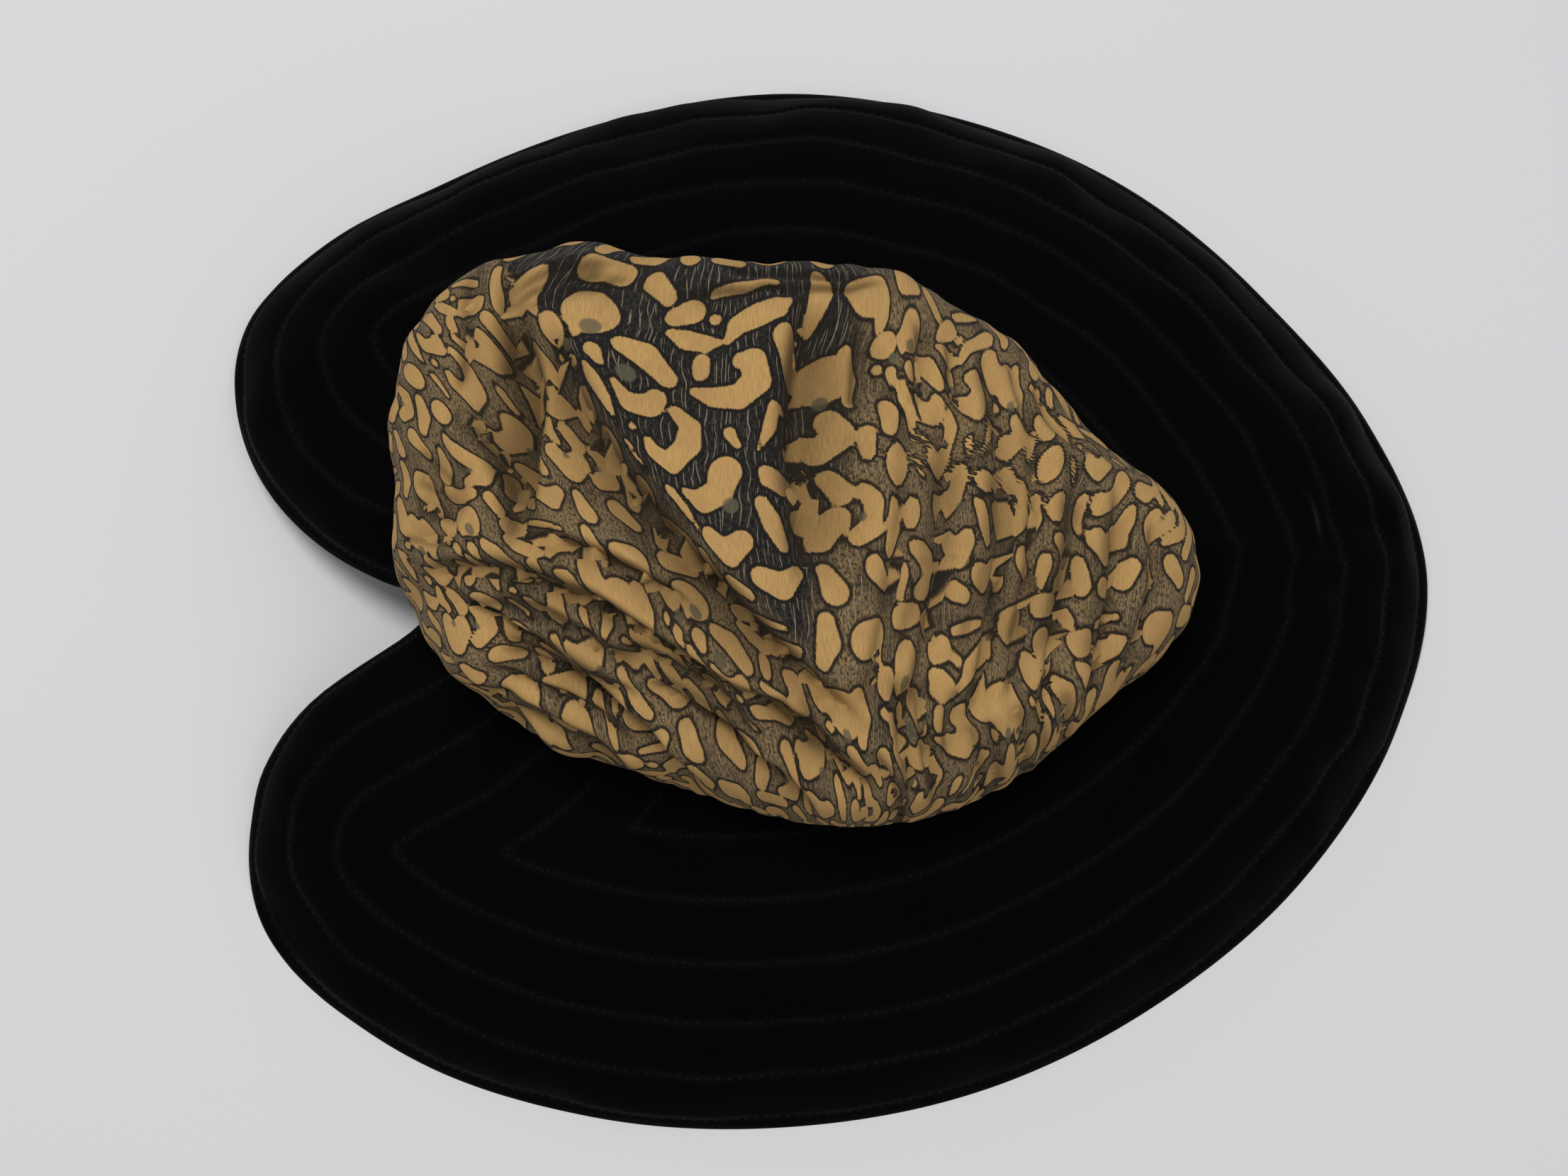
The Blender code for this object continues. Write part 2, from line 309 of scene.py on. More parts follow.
def gauze_material():
    """Opaque tan figures with dark rims, on a charcoal net with loose pale threads along the cloth. Where
    the net lies doubled it is brown and mottled; painted shade darkens all of it down in the folds and along
    their lines."""
    gauze = Shader("printed_gauze", Roughness=0.85, Sheen_Weight=0.03, Sheen_Roughness=0.5)
    gauze.main.inputs["Specular IOR Level"].default_value = 0.06
    cloth = gauze.add("ShaderNodeUVMap", uv_map="cloth").outputs[0]   # millimetres: across, along
    doubled = gauze.number("doubled")

    fray = gauze.noise(gauze.stretched(cloth, (2.2, 0.5, 1)), detail=2)
    grown = gauze.math("SUBTRACT", gauze.number("figure"), gauze.math("MULTIPLY", doubled, 0.25))
    figure = gauze.math("ADD", grown, gauze.math("MULTIPLY", gauze.math("SUBTRACT", fray, 0.5), 0.9))
    inside = gauze.remap(figure, 0.25, -0.25)
    halo = gauze.remap(figure, 1.7, 0.7)
    dot = gauze.remap(gauze.number("dot"), 0.4, -0.4)

    ribs = gauze.noise(gauze.stretched(cloth, (2.6, 0.25, 1)), detail=1)
    fade = gauze.noise(gauze.stretched(cloth, (0.05, 0.05, 1)), detail=3)
    tan = gauze.mix(gauze.remap(ribs, 0.3, 0.7), (0.410, 0.243, 0.085, 1), (0.512, 0.316, 0.118, 1))
    tan = gauze.mix(gauze.remap(fade, 0.35, 0.7, 0, 0.5), tan, (0.385, 0.220, 0.086, 1))

    wide = thread_lines(gauze, cloth, spacing=2.4, width=0.17, wobble=1.6, seed=0.0)
    close = thread_lines(gauze, cloth, spacing=3.1, width=0.19, wobble=1.9, seed=40.0)
    cells = gauze.add("ShaderNodeTexVoronoi", {"Vector": gauze.stretched(cloth, (0.62, 0.38, 1)),
                                               "Scale": 1.0}, feature="DISTANCE_TO_EDGE").outputs[0]
    mesh = gauze.remap(cells, 0.10, 0.02)
    charcoal = gauze.mix(gauze.math("MULTIPLY", mesh, 0.55), (0.0140, 0.0135, 0.0125, 1),
                         (0.050, 0.043, 0.033, 1))
    streaks = gauze.noise(gauze.stretched(cloth, (1.3, 0.75, 1)), detail=3, roughness=0.65)
    patches = gauze.noise(gauze.stretched(cloth, (0.05, 0.04, 1)), detail=2)
    brown = gauze.mix(gauze.remap(streaks, 0.36, 0.62), (0.044, 0.032, 0.018, 1), (0.255, 0.170, 0.080, 1))
    share = gauze.math("MULTIPLY", doubled, gauze.remap(patches, 0.30, 0.55, 0.35, 1.0))
    ground = gauze.mix(share, charcoal, brown)
    ground = gauze.mix(gauze.math("MULTIPLY", halo, 0.9), ground, (0.0135, 0.0125, 0.0110, 1))
    clear = gauze.math("SUBTRACT", 1.0, halo)
    thread = gauze.math("MULTIPLY", gauze.math("MAXIMUM", wide, close), clear)
    ground = gauze.mix(gauze.math("MULTIPLY", thread, 0.9), ground, (0.33, 0.27, 0.18, 1))

    colour = gauze.mix(inside, ground, tan)
    colour = gauze.mix(gauze.math("MULTIPLY", dot, 0.8), colour, (0.105, 0.095, 0.058, 1))
    # painted shade: the cloth is darkened the deeper it lies in a fold
    colour = gauze.mix(gauze.math("MULTIPLY", gauze.number("sunk"), 0.5), colour, (0.030, 0.020, 0.010, 1))
    # painted shade: a near-black line along each fold and where the cloth is packed tight in one
    colour = gauze.mix(gauze.math("MULTIPLY", gauze.number("crease"), 0.9), colour, (0.014, 0.011, 0.007, 1))
    gauze.colour(colour)
    weave = gauze.math("ADD", gauze.math("MULTIPLY", ribs, 0.5), gauze.math("MULTIPLY", thread, 0.8))
    gauze.bump(gauze.math("ADD", weave, gauze.math("MULTIPLY", inside, 0.6)), 0.25 * MM, 0.7)
    return gauze.material


def thread_lines(shader, cloth, spacing, width, wobble, seed):
    """Loose threads along the cloth, about spacing apart, that wander and come and go; in millimetres."""
    axes = shader.add("ShaderNodeSeparateXYZ", {0: cloth})
    drift = shader.noise(shader.add("ShaderNodeMapping", {"Vector": cloth, "Location": (seed, seed, 0),
                                                          "Scale": (0.07, 0.12, 1)}).outputs[0], detail=0.5)
    place = shader.math("ADD", axes.outputs[0], shader.math("MULTIPLY", drift, wobble * 2))
    turns = shader.math("FRACT", shader.math("DIVIDE", place, spacing))
    off = shader.math("MULTIPLY", shader.math("ABSOLUTE", shader.math("SUBTRACT", turns, 0.5)), spacing)
    line = shader.remap(off, width, width * 0.3)
    shown = shader.noise(shader.add("ShaderNodeMapping", {"Vector": cloth, "Location": (seed, -seed, 0),
                                                          "Scale": (0.42, 0.12, 1)}).outputs[0], detail=2)
    return shader.math("MULTIPLY", line, shader.remap(shown, 0.42, 0.58))


# ---------------------------------------------------------------- brim
# A row for each crease of the brim, a soft ridge (height above 0) or valley along a curve of the plan.
BRIM_CREASES = [
    {"line": [(0.002, -0.120), (0.000, -0.148), (-0.004, -0.176)], "width": 3.5 * MM, "height": 2.6 * MM},
    {"line": [(-0.030, -0.110), (-0.023, -0.142), (-0.008, -0.168)], "width": 4.0 * MM, "height": 2.4 * MM},
    {"line": [(-0.012, -0.116), (-0.012, -0.138), (-0.007, -0.160)], "width": 9.0 * MM, "height": -3.0 * MM},
    {"line": [(0.024, -0.151), (0.017, -0.158), (0.006, -0.157)], "width": 3.0 * MM, "height": 1.8 * MM},
    {"line": [(0.012, -0.160), (0.014, -0.175), (0.016, -0.192)], "width": 8.0 * MM, "height": -2.0 * MM},
    {"line": [(-0.060, -0.160), (-0.056, -0.176), (-0.060, -0.190)], "width": 6.0 * MM, "height": 1.5 * MM},
]


def brim_sections():
    """Edge distance, edge height and opening distance at even angles, read from the CAD brim."""
    points = node_points("brim")
    out = points[:, :2] - OPENING_CENTRE
    radius = np.hypot(out[:, 0], out[:, 1])
    turn = np.arctan2(out[:, 0], -out[:, 1]) % (2 * math.pi)
    count = len({round(math.degrees(a) * 2) % 720 for a in turn})
    section = np.round(turn / (2 * math.pi) * count).astype(int) % count
    reach, lift, inner = np.zeros(count), np.zeros(count), np.zeros(count)
    for i in range(count):
        mine = np.nonzero(section == i)[0]
        far = mine[np.argmax(radius[mine])]
        reach[i], lift[i], inner[i] = radius[far], points[far, 2], radius[mine].min()
    return reach, lift, inner


def brim_skins(reach, lift, inner):
    """The brim's upper side and under side, as grids of points before any sewing."""
    turn = np.arange(BRIM_ROUND) * 2 * math.pi / BRIM_ROUND
    far, edge, near = (round_curve(v, turn)[:, None] for v in (reach, lift, inner))
    edge = np.maximum(edge, 0)

    def upper(part):
        fall = EVEN_FALL * part + (1 - EVEN_FALL) * part ** CURL_POWER
        x, y = plan_points(blend(near, far, part), turn[:, None])
        return np.stack([x, y, blend(OPENING_TOP, edge, fall)], 2)

    def parts(steps):
        even = np.linspace(0, 1, steps)
        return (0.45 * even + 0.55 * np.sin(even * math.pi / 2))[None, :]

    return upper(parts(BRIM_ACROSS)), upper(parts(BRIM_UNDER))


def edge_distance(grid, edge):
    """How far each point of a grid is from the brim's edge, which is a closed line of points."""
    fine = np.concatenate([blend(edge, np.roll(edge, -1, 0), part) for part in (0, 0.25, 0.5, 0.75)])
    tree = KDTree(len(fine))
    for i, point in enumerate(fine):
        tree.insert(point, i)
    tree.balance()
    flat = [tree.find(point)[2] for point in grid.reshape(-1, 3)]
    return np.array(flat).reshape(grid.shape[:2])


def sewn_relief(distance):
    """Height added by the sewing at a distance from the edge, and how near a row is, from 0 to 1."""
    row = (distance - FIRST_ROW) / ROW_PITCH
    near = np.clip(np.round(row), 0, ROW_COUNT - 1)
    off = np.abs(row - near) * ROW_PITCH
    closeness = np.exp(-(off / ROW_HALF_WIDTH) ** 2)
    puff = np.where(distance > FIRST_ROW, np.sin(np.pi * np.clip(off / (ROW_PITCH / 2), 0, 1) / 2), 0.3)
    return PUFF * puff - ROW_DEPTH * closeness, closeness


def brim_shape(grid):
    """How far creases and waves lift each point off the plain surface."""
    x, y = grid[..., 0], grid[..., 1]
    height = 1.1 * MM * waves(x, y, 0.055, seed=3) + 0.45 * MM * waves(x, y, 0.022, seed=4)
    for crease in BRIM_CREASES:
        away, along, _ = beside(x, y, curve_through(crease["line"], 16))
        fade = smooth(np.minimum(along, 1 - along) / 0.2 + 0.15)
        height += crease["height"] * np.exp(-(away / crease["width"]) ** 2) * fade
    return height


def contour(grid, values, level):
    """Lines of points where the values of a grid, closed along its rows, pass a level."""
    rows = len(values)
    crossing = {}

    def point(i, j, k, m):
        """The crossing between two neighbouring points of the grid, or None."""
        a, b = values[i % rows, j] - level, values[k % rows, m] - level
        if (a < 0) == (b < 0):
            return None
        key = (i % rows, j, k % rows, m)
        crossing[key] = blend(grid[i % rows, j], grid[k % rows, m], a / (a - b))
        return key

    linked = {}
    near = values < level
    mixed = near ^ np.roll(near, -1, 0)
    cells = mixed[:, :-1] | mixed[:, 1:] | (near[:, :-1] ^ near[:, 1:])
    for i, j in zip(*np.nonzero(cells)):
        sides = (point(i, j, i + 1, j), point(i, j + 1, i + 1, j + 1), point(i, j, i, j + 1),
                 point(i + 1, j, i + 1, j + 1))
        found = [key for key in sides if key]
        for one, other in zip(found[::2], found[1::2]):
            linked.setdefault(one, []).append(other)
            linked.setdefault(other, []).append(one)
    lines, left = [], set(linked)
    while left:
        key = min(left)
        line = []
        while key is not None:
            left.discard(key)
            line.append(crossing[key])
            key = next((k for k in linked[key] if k in left), None)
        lines.append(np.array(line))
    return lines


def make_stitches(sewn, distance):
    """Small stitches of black thread, one after another along every row, lying in its groove."""
    points, faces = [], []
    for row in range(ROW_COUNT):
        for line in contour(sewn, distance, FIRST_ROW + row * ROW_PITCH):
            along = np.insert(np.cumsum(np.linalg.norm(np.diff(line, axis=0), axis=1)), 0, 0)
            places = np.arange(STITCH_GAP, along[-1] - STITCH_LENGTH, STITCH_LENGTH + STITCH_GAP)
            for place in places:
                where = place + STITCH_LENGTH * np.array([0, 0.5, 1])
                ends = np.stack([np.interp(where, along, line[:, k]) for k in range(3)], 1)
                add_stitch(points, faces, ends)
    stitches = mesh_piece("brim_stitches", np.array(points), faces, thread_material())
    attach(stitches, "root")


def add_stitch(points, faces, ends):
    """A bead of thread with pointed ends and a square middle."""
    start, middle, end = ends
    way = (end - start) / np.linalg.norm(end - start)
    side = np.cross(way, (0, 0, 1)) * STITCH_RADIUS
    up = np.cross(side, way)
    lifted = middle + up * STITCH_LIFT
    first = len(points)
    points += [start, end, lifted + side, lifted + up, lifted - side, lifted - up]
    for k in range(4):
        a, b = first + 2 + k, first + 2 + (k + 1) % 4
        faces += [(first, b, a), (first + 1, a, b)]


def make_brim():
    """The velvet brim in one closed skin: upper side, edge, under side and the wall of the opening."""
    reach, lift, inner = brim_sections()
    top, under = brim_skins(reach, lift, inner)
    edge = top[:, -1].copy()
    across = np.linspace(0, 1, BRIM_ACROSS)[None, :]

    distance = edge_distance(top, edge)
    relief, closeness = sewn_relief(distance)
    calm_foot = smooth(distance / LEVEL_EDGE)
    calm_opening = smooth(across / LEVEL_OPENING)
    off = brim_shape(top) * calm_foot * calm_opening + relief * calm_opening
    normal = grid_normals(top, close_rows=True)
    sewn = top + normal * off[..., None]

    under_distance = edge_distance(under, edge)
    under_relief, under_closeness = sewn_relief(under_distance)
    under_normal = grid_normals(under, close_rows=True)
    part = np.linspace(0, 1, BRIM_UNDER)[None, :]
    calm = smooth(under_distance / LEVEL_EDGE) * smooth(part / LEVEL_OPENING)
    depth = BRIM_THICKNESS + under_relief * UNDER_SEWING - brim_shape(under) * calm
    sunk = under - under_normal * depth[..., None]

    # the edge is a soft fold: both sides meet in a line at its foot
    foot = np.maximum(edge[:, 2], 0)
    for side in (sunk, sewn):
        side[..., 2] = np.maximum(side[..., 2], foot[:, None] + EDGE_LIFT)
    middle = (sewn[:, -1] + sunk[:, -1]) / 2
    middle[:, 2] = foot
    ring = np.concatenate([sewn, middle[:, None], sunk[:, ::-1]], 1)
    columns = ring.shape[1]
    row_near = np.concatenate([closeness, np.zeros((BRIM_ROUND, 1)), under_closeness[:, ::-1]], 1)

    brim = mesh_piece("brim_velvet", ring.reshape(-1, 3),
                      quads(BRIM_ROUND, columns, close_rows=True, close_columns=True), velvet_material())
    # how near a row of stitching each point is, for its lighter colour: partly crushed pile, partly painted
    # highlight
    store(brim, "row", row_near.ravel())
    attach(brim, "root")
    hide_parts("brim")
    make_stitches(sewn, distance)


# ---------------------------------------------------------------- crown
# In millimetres. A fold's line goes through three points of the plan. Looking from start to end, the cloth
# on the left rolls over the cloth on the right: it rises by roll over a width of wide and hangs over by
# lean, the other sinks by sink over narrow, and so much cloth is hidden in the fold as hide says.
Fold = namedtuple("Fold", "start middle end roll sink wide narrow lean hide")
CROWN_FOLDS = [
    ((56, 82), (-2, 52), (-71, -14), 4.0, 17.0, 14, 13, 1.5, 10),
    ((62, 95), (32, 88), (-6, 90), 1.0, 24.0, 9, 12, 1.5, 8),
    ((-34, 9), (22, 14), (66, 7), 1.0, 16.0, 9, 18, 1.2, 6),
    ((-19, 93), (10, 102), (28, 116), 3.0, 10.0, 8, 8, 1.2, 6),
    ((32, 113), (58, 111), (76, 112), 1.4, 4.0, 4, 4, 1, 5),
    ((38, 102), (59, 100), (78, 99), 2.0, 7.0, 5, 6, 1.2, 6),
    ((64, 50), (69, 14), (70, -20), 1.6, 3.0, 4, 4, 1.1, 5),
    ((74, 36), (75, 10), (72, -14), 1.2, 2.4, 3, 3, 1, 4),
    ((27, -6), (39, -7), (58, -9), 1.6, 6.0, 5, 6, 1.1, 5),
    # down the right of the front
    ((-67, -7), (-12, -18), (27, -21), 2.1, 4.3, 8, 5, 1, 6),
    ((-73, -18), (-19, -29), (27, -31), 2.3, 5.1, 8, 5, 1, 7),
    ((-67, -38), (-27, -46), (43, -49), 2.9, 6.5, 8, 5, 1.2, 9),
    ((-60, -50), (-27, -56), (34, -59), 2.3, 5.1, 6, 4, 1, 8),
    ((-64, -60), (-27, -66), (24, -72), 2.1, 4.3, 5, 4, 1, 7),
    ((-61, -73), (-27, -82), (10, -85), 2.3, 5.1, 6, 4, 1, 7),
    ((-51, -86), (-25, -94), (-2, -97), 1.8, 3.6, 5, 4, 1, 6),
    ((-86, -24), (-70, -19), (-52, -17), 2.1, 6.5, 4, 3, 1, 6),
    ((-88, -31), (-72, -26), (-54, -24), 1.6, 5.1, 4, 3, 1, 6),
    ((-76, -34), (-66, -33), (-54, -36), 1.3, 3.6, 3, 3, 1, 4),
    # across the left of the back
    ((-19, 125), (-21, 93), (-35, 66), 2.9, 6.5, 6, 5, 1.2, 7),
    ((-10, 93), (-19, 65), (-36, 38), 3.4, 8.7, 7, 5, 1.2, 8),
    ((-22, 117), (-41, 86), (-57, 56), 2.9, 6.5, 6, 5, 1.2, 7),
    ((-24, 76), (-40, 52), (-60, 22), 3.1, 7.2, 6, 5, 1.2, 8),
    ((-35, 118), (-59, 94), (-78, 66), 2.9, 6.5, 6, 5, 1.2, 7),
    ((-46, 84), (-61, 59), (-83, 36), 2.9, 6.5, 6, 5, 1.2, 7),
    ((-60, 47), (-72, 23), (-92, 2), 2.6, 6.5, 5, 5, 1.1, 7),
    ((-57, 25), (-67, 4), (-83, -14), 2.6, 5.8, 5, 4, 1.1, 6),
    ((-72, -11), (-83, -20), (-95, -24), 1.6, 3.6, 4, 3, 1, 5),
]

# Families of lesser pleats, spread between a first and a last line. A pleat of scale 1 is COMMON_PLEAT.
Fan = namedtuple("Fan", "first last count scale seed")
PLEAT_FANS = [
    (((-60, -12), (-14, -24), (20, -27)), ((-48, -84), (-24, -88), (0, -92)), 9, 0.65, 11),
    (((-14, 110), (-22, 80), (-40, 52)), ((-58, 104), (-74, 76), (-90, 48)), 11, 0.75, 12),
    (((-30, 72), (-44, 44), (-62, 18)), ((-52, 60), (-66, 34), (-84, 10)), 5, 0.8, 18),
    (((-50, 36), (-64, 18), (-80, 2)), ((-58, 6), (-74, -4), (-88, -18)), 5, 0.7, 13),
    (((26, -16), (44, -18), (66, -22)), ((8, -94), (22, -84), (38, -76)), 6, 0.55, 14),
    (((2, 108), (14, 116), (24, 124)), ((-16, 104), (-16, 118), (-12, 130)), 4, 0.6, 15),
    (((56, 92), (66, 76), (72, 58)), ((70, 104), (76, 84), (78, 66)), 3, 0.6, 16),
    (((-66, -36), (-76, -40), (-88, -42)), ((-50, -72), (-60, -76), (-70, -80)), 5, 0.6, 17),
]
COMMON_PLEAT = {"roll": 2.6, "sink": 5.2, "wide": 5, "narrow": 4, "lean": 1.3, "hide": 6}
HIDE_REACH = 26 * MM         # how far from a fold the cloth is drawn towards it
LEAN_REACH = 3.5             # how far from a fold the cloth leans, in millimetres
CREASE_WIDTH = 0.95          # half the width of the painted shade line in a fold, in millimetres
PACKED = 3.4                 # millimetres of cloth in a millimetre of surface where the folds get painted shade
FOLDS_FADE = (76, 104)       # where the folds die away, in degrees down the puffed side
GATHERS = 46                 # small gathers round the crown's foot
GATHERS_START = (70, 100)    # where they begin, in degrees down the puffed side
GATHERS_END = (126, 138)     # where they die away towards the foot
GATHER_DEPTH = 1.0 * MM
SHADE_DEPTH = 14             # millimetres down in a fold where the painted shade is darkest
FAR_EASE = 0.45              # how much looser the cloth lies over the shoulder on the wearer's left
FAR_SPAN = (12, 45)          # over which millimetres of the cloth it does so
EASE_ROUNDING = 8            # millimetres over which such changes come in
SECTIONS_READ = 36           # angles at which the CAD crown is measured
OUTSIDE = 0.25               # a radius outside the whole crown, in metres
# Where the cloth is gathered between its pleats: lines of the plan, in millimetres, whose right side is
# gathered across the line by so much more cloth than shows.
GATHERED_SIDES = [((56, 82), (-71, -14), 1.4), ((-80, -6), (80, -14), 1.0)]


def crown_sections():
    """The crown's greatest reach from the opening's axis and its height there, at even angles."""
    tree = node_tree("crown")
    low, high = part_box("crown")[0][2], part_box("crown")[1][2]
    levels = []
    for i in range(SECTIONS_READ):
        best = (0.0, low)
        for height in np.arange(low + 2 * MM, high - 10 * MM, 1 * MM):
            start = Vector((*plan_points(OUTSIDE, i * 2 * math.pi / SECTIONS_READ), height))
            hit = tree.ray_cast(start, (Vector((*OPENING_CENTRE, height)) - start).normalized())
            if hit[0] is not None:
                best = max(best, (OUTSIDE - hit[3], height))
        levels.append(best)
    reaches, waists = (np.array(v) for v in zip(*levels))
    return reaches, (np.roll(waists, 1) + 2 * waists + np.roll(waists, -1)) / 4


class CrownForm:
    """The crown's plain puffed form. out is 0 at its top and 1 where it meets the brim."""

    def __init__(self, turn):
        reaches, waists = crown_sections()
        self.reach, self.waist = round_curve(reaches, turn), round_curve(waists, turn)
        self.inner = round_curve(brim_sections()[2], turn) + 2 * MM
        self.turn = turn
        self.edge = np.stack(plan_points(self.reach, turn), -1)

    def points(self, out):
        angle = out * TUCK_ANGLE
        above = angle <= math.pi / 2
        over = np.sin(np.minimum(angle, math.pi / 2))
        power = blend(SHOULDER_POWER, LEFT_SHOULDER_POWER, np.maximum(0, np.sin(self.turn)))
        rise = np.clip(np.cos(angle), 0, 1) ** power
        tuck = (angle - math.pi / 2) / (TUCK_ANGLE - math.pi / 2) * math.pi / 2
        under = plan_points(blend(self.inner, self.reach, np.cos(tuck)), self.turn)
        x = np.where(above, blend(CROWN_TOP[0], self.edge[..., 0], over), under[0])
        y = np.where(above, blend(CROWN_TOP[1], self.edge[..., 1], over), under[1])
        foot = OPENING_TOP - FOOT_DROP
        z = np.where(above, blend(self.waist, CROWN_TOP[2] - ROLL_ROOM, rise),
                     blend(self.waist, foot, np.sin(tuck)))
        return np.stack([x, y, z], -1)

    def lengths(self, out, steps=24):
        """Length of cloth from the top down to each point."""
        total, last = 0, self.points(out * 0)
        for step in range(1, steps + 1):
            point = self.points(out * step / steps)
            total = total + np.linalg.norm(point - last, axis=-1)
            last = point
        return total


def all_folds():
    """The drawn folds and the pleats of every fan."""
    folds = [Fold(*row) for row in CROWN_FOLDS]
    for fan in (Fan(*row) for row in PLEAT_FANS):
        rng = np.random.default_rng(fan.seed)
        for i in range(fan.count):
            part = (i + 0.5 + rng.uniform(-0.25, 0.25)) / fan.count
            line = blend(np.array(fan.first, float), np.array(fan.last, float), part)
            line[0] = blend(line[0], line[1], rng.uniform(0, 0.3))
            line[2] = blend(line[2], line[1], rng.uniform(0, 0.3))
            size = fan.scale * rng.uniform(0.7, 1.3)
            sized = {key: COMMON_PLEAT[key] * size for key in ("roll", "sink", "lean", "hide")}
            folds.append(Fold(*line, **{**COMMON_PLEAT, **sized}))
    return folds


def fold_cloth(grid, angle, turn):
    """Presses every fold into the crown's plain form, and gives the folded grid, how far the cloth's own
    plan is shifted by what the folds hide, how near a fold's line each point is and how deep it lies,
    the last two for the painted shade in the folds."""
    normal = grid_normals(grid)
    x, y = grid[..., 0], grid[..., 1]
    height, crease = np.zeros_like(x), np.zeros_like(x)
    drift = np.zeros(x.shape + (2,))
    drawn = np.zeros(x.shape + (2,))
    for fold in all_folds():
        line = curve_through([fold.start, fold.middle, fold.end], 14) * MM
        signed, along, away = beside(x, y, line)
        fade = smooth(np.minimum(along, 1 - along) / 0.22 + 0.05)
        rolled, sunk = np.maximum(signed, 0) / MM, np.maximum(-signed, 0) / MM
        half = 0.9 + 0.07 * fold.sink             # of the width over which the cloth drops
        over = smooth((signed / MM + half) / (2 * half))
        up = fold.roll * np.exp(-(rolled / fold.wide) ** 2)
        down = -fold.sink * np.exp(-(sunk / fold.narrow) ** 1.6)
        height += blend(down, up, over) * fade
        drift -= away * (fold.lean * np.exp(-(rolled / LEAN_REACH) ** 2) * over * fade)[..., None]
        taken = fold.hide * fade * (over - 1) * np.exp(-np.abs(signed) / HIDE_REACH)
        drawn += away * taken[..., None]
        # painted shade: a dark line along the fold's line
        shade = np.exp(-((signed / MM + 0.2) / CREASE_WIDTH) ** 2) * np.minimum(1, fade * 1.5)
        crease = np.maximum(crease, shade)
    height += 1.1 * waves(x, y, 34 * MM, seed=21) + 0.5 * waves(x, y, 12 * MM, seed=22)
    degrees = np.degrees(angle)
    calm = 1 - ramp(degrees, FOLDS_FADE)
    moved = grid + normal * (height * calm * MM)[..., None]
    moved[..., :2] += drift * (calm * MM)[..., None]

    phase = turn * GATHERS / 2 + 3.5 * round_curve(np.random.default_rng(31).uniform(-1, 1, 40), turn)
    gathered = ramp(degrees, GATHERS_START) * (1 - ramp(degrees, GATHERS_END))
    gather = GATHER_DEPTH * (np.abs(np.sin(phase)) ** 0.7 - 0.6) * gathered
    # painted shade: how far down in a fold the cloth lies, to darken its colour
    sunk = np.clip(-height * calm / SHADE_DEPTH, 0, 1)
    return moved + normal * gather[..., None], drawn, crease * calm, sunk


def soft_ramp(value, width):
    """0 below 0 and rising as the value above it, with a rounded corner so wide."""
    return np.where(value > width, value - width / 2, np.maximum(value, 0) ** 2 / (2 * width))


def soften(grid, times):
    """Relaxes a grid of cloth a little, without moving its border."""
    for _ in range(times):
        mean = (grid[:-2, 1:-1] + grid[2:, 1:-1] + grid[1:-1, :-2] + grid[1:-1, 2:]) / 4
        grid[1:-1, 1:-1] = blend(grid[1:-1, 1:-1], mean, 0.5)
    return grid


